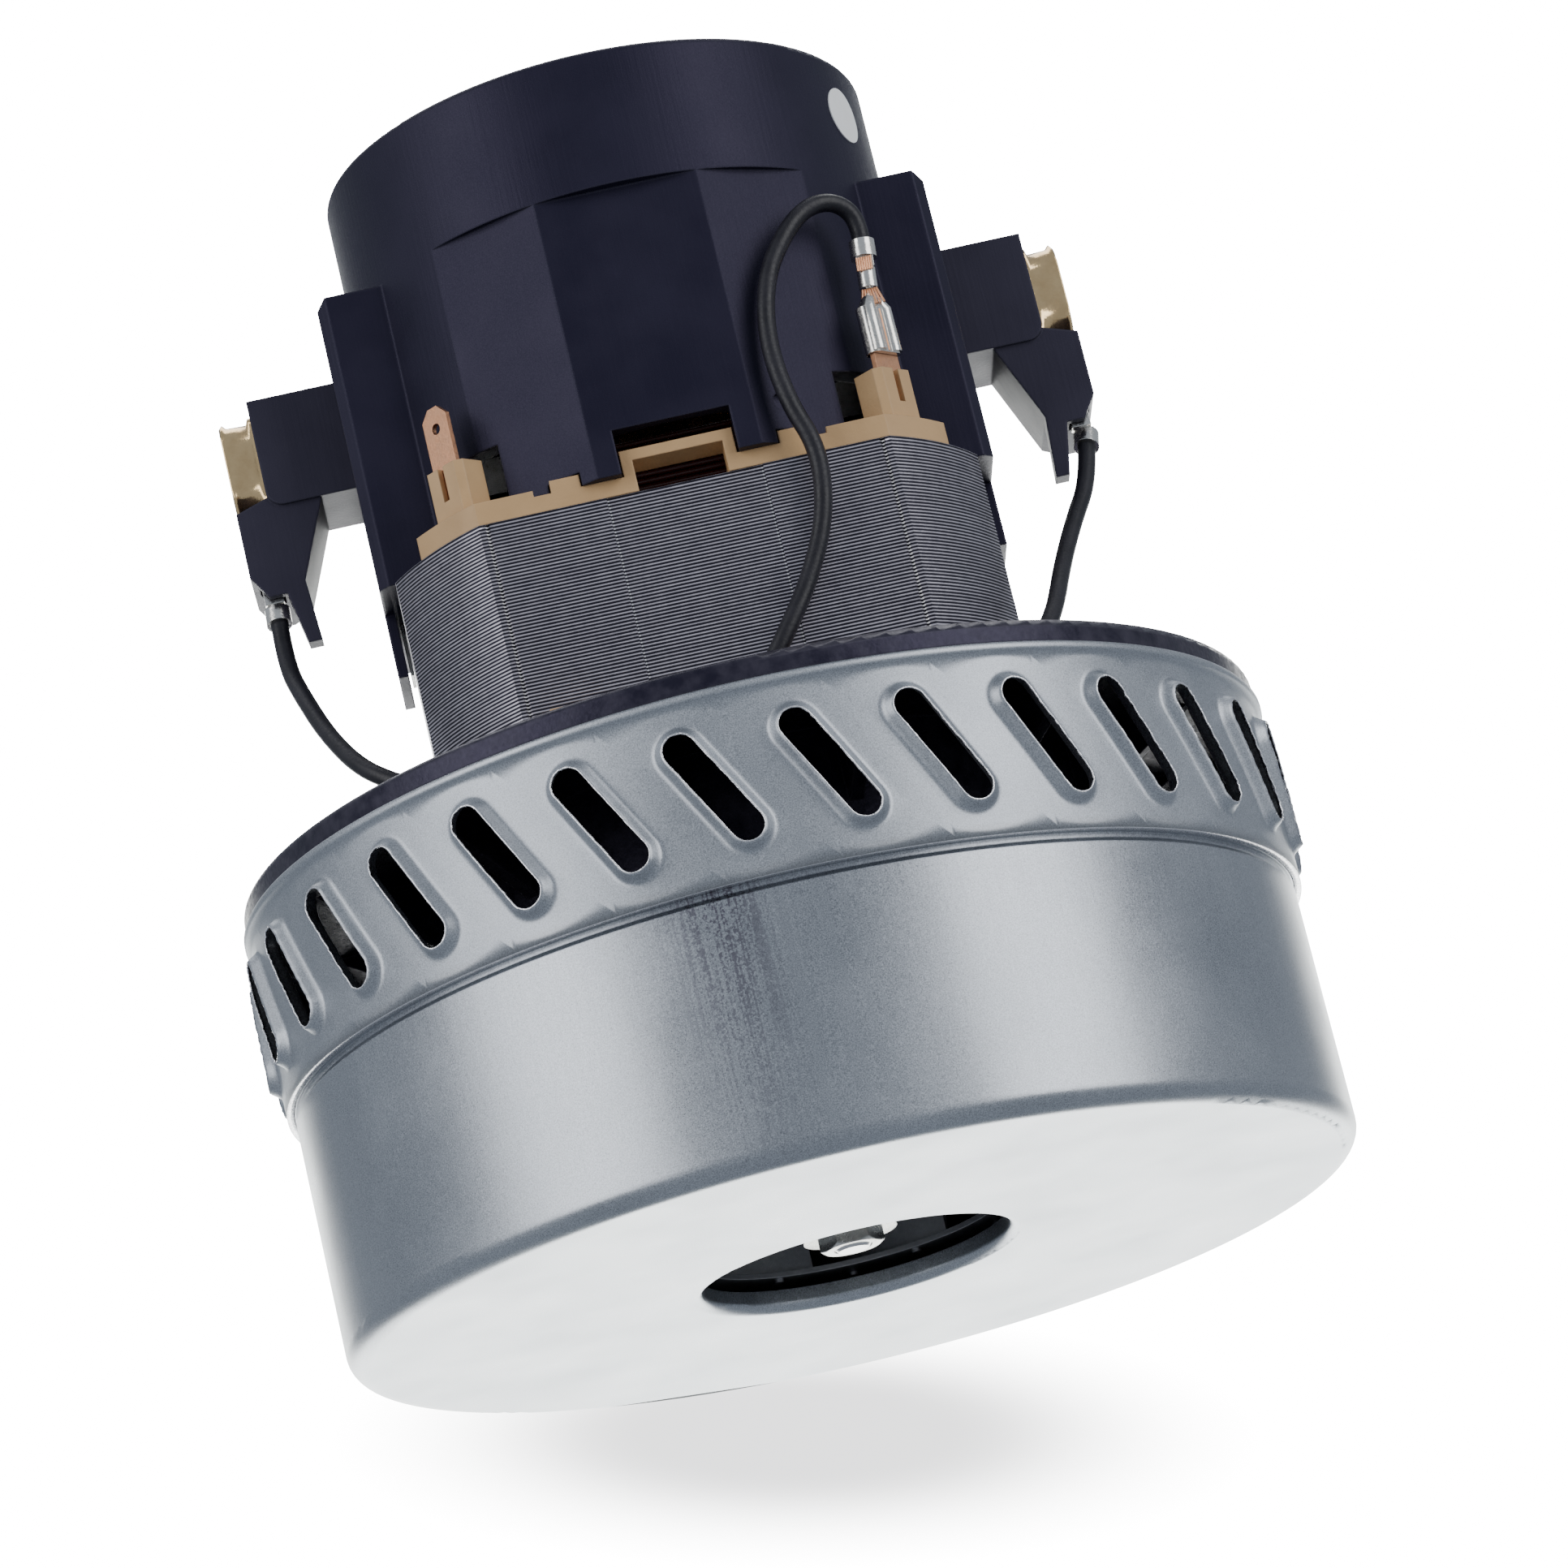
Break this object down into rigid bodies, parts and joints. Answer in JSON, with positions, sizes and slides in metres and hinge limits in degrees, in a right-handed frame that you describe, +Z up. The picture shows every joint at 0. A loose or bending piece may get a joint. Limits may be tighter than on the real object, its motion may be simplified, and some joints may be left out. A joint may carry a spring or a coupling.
{
  "type": "vacuum cleaner motor",
  "caption": "Two-stage bypass vacuum motor: steel fan case with slanting exhaust slots, wound stator, black brush housing and bare leads.",
  "frame": {"origin": "centre of the flat inlet face of the fan shell, which the motor stands on", "axes": "+Z up the shaft from the inlet to the cooling fan, +X along the two brushes, -Y toward the front lead"},
  "size_m": [0.1498, 0.1502, 0.1702],
  "materials": {
    "galvanised_steel": "zinc coated sheet, satin, faint spangle",
    "black_moulding": "satin moulded thermoset",
    "black_grille": "satin moulded plastic",
    "black_rubber": "matt rubber",
    "felt": "pressed felt",
    "lamination_steel": "stacked dark sheet edges",
    "tan_moulding": "satin moulded nylon",
    "enamelled_wire": "dark red enamel on copper wire",
    "pressed_aluminium": "pressed sheet",
    "plated_steel": "zinc plated",
    "bearing_steel": "ground bright steel",
    "grey_moulding": "satin moulded plastic",
    "brown_phenolic": "moulded phenolic",
    "copper": "bare copper",
    "tinned_brass": "tin plated brass",
    "brass": "drawn brass",
    "carbon": "pressed carbon",
    "spring_steel": "coiled spring wire",
    "lead_insulation": "flexible insulation, slight sheen",
    "white_label": "coated paper"
  },
  "bodies": {
    "motor": {"base_plate": "black_moulding", "bearing_cushion": "black_rubber", "blank_sticker": "white_label", "exhaust_ring": "galvanised_steel", "fan_grille": "black_grille", "fan_shell": "galvanised_steel", "front_field_coil": "enamelled_wire", "front_lead": "lead_insulation", "front_lower_former": "tan_moulding", "front_upper_former": "tan_moulding", "interstage_plate": "plated_steel", "lead_receptacle": "tinned_brass", "lead_tab": "copper", "left_brush_holder": "black_moulding", "left_brush_lead": "lead_insulation", "left_brush_terminal": "tinned_brass", "left_brush_tube": "brass", "lower_bearing_balls": "bearing_steel", "lower_bearing_outer_race": "bearing_steel", "lower_receptacles": "tinned_brass", "lower_tabs": "tinned_brass", "rear_field_coil": "enamelled_wire", "rear_lower_former": "tan_moulding", "rear_upper_former": "tan_moulding", "return_guide": "grey_moulding", "right_brush_holder": "black_moulding", "right_brush_lead": "lead_insulation", "right_brush_terminal": "tinned_brass", "right_brush_tube": "brass", "shaft_seal": "felt", "side_clips": "galvanised_steel", "stator_core": "lamination_steel", "stator_screws": "plated_steel", "supply_tabs": "copper", "upper_bearing_balls": "bearing_steel", "upper_bearing_outer_race": "bearing_steel", "upper_housing": "black_moulding"},
    "rotor": {"rotor_shaft": "bearing_steel", "armature_core": "lamination_steel", "armature_winding": "enamelled_wire", "commutator_hub": "brown_phenolic", "commutator_bars": "copper", "lower_bearing_inner_race": "bearing_steel", "upper_bearing_inner_race": "bearing_steel", "hub_spacers": "plated_steel", "impeller_1_front_disc": "pressed_aluminium", "impeller_1_vanes": "pressed_aluminium", "impeller_1_back_disc": "pressed_aluminium", "impeller_2_front_disc": "pressed_aluminium", "impeller_2_vanes": "pressed_aluminium", "impeller_2_back_disc": "pressed_aluminium", "hub_washer": "plated_steel", "hub_nut": "plated_steel", "cooling_fan": "grey_moulding"},
    "left_brush": {"left_carbon_brush": "carbon", "left_brush_spring": "spring_steel"},
    "right_brush": {"right_carbon_brush": "carbon", "right_brush_spring": "spring_steel"}
  },
  "joints": [
    {"name": "rotor_spin", "type": "hinge", "parent": "motor", "child": "rotor", "pos_m": [0, 0, 0.09], "axis": [0, 0, 1], "continuous": true},
    {"name": "left_brush_slide", "type": "slide", "parent": "motor", "child": "left_brush", "axis": [-1, 0, 0], "range_m": [0, 0.004], "stiffness_N_per_m": 100, "springref_m": -0.02, "deforming": ["left_brush_spring"]},
    {"name": "right_brush_slide", "type": "slide", "parent": "motor", "child": "right_brush", "axis": [1, 0, 0], "range_m": [0, 0.004], "stiffness_N_per_m": 100, "springref_m": -0.02, "deforming": ["right_brush_spring"]}
  ]
}
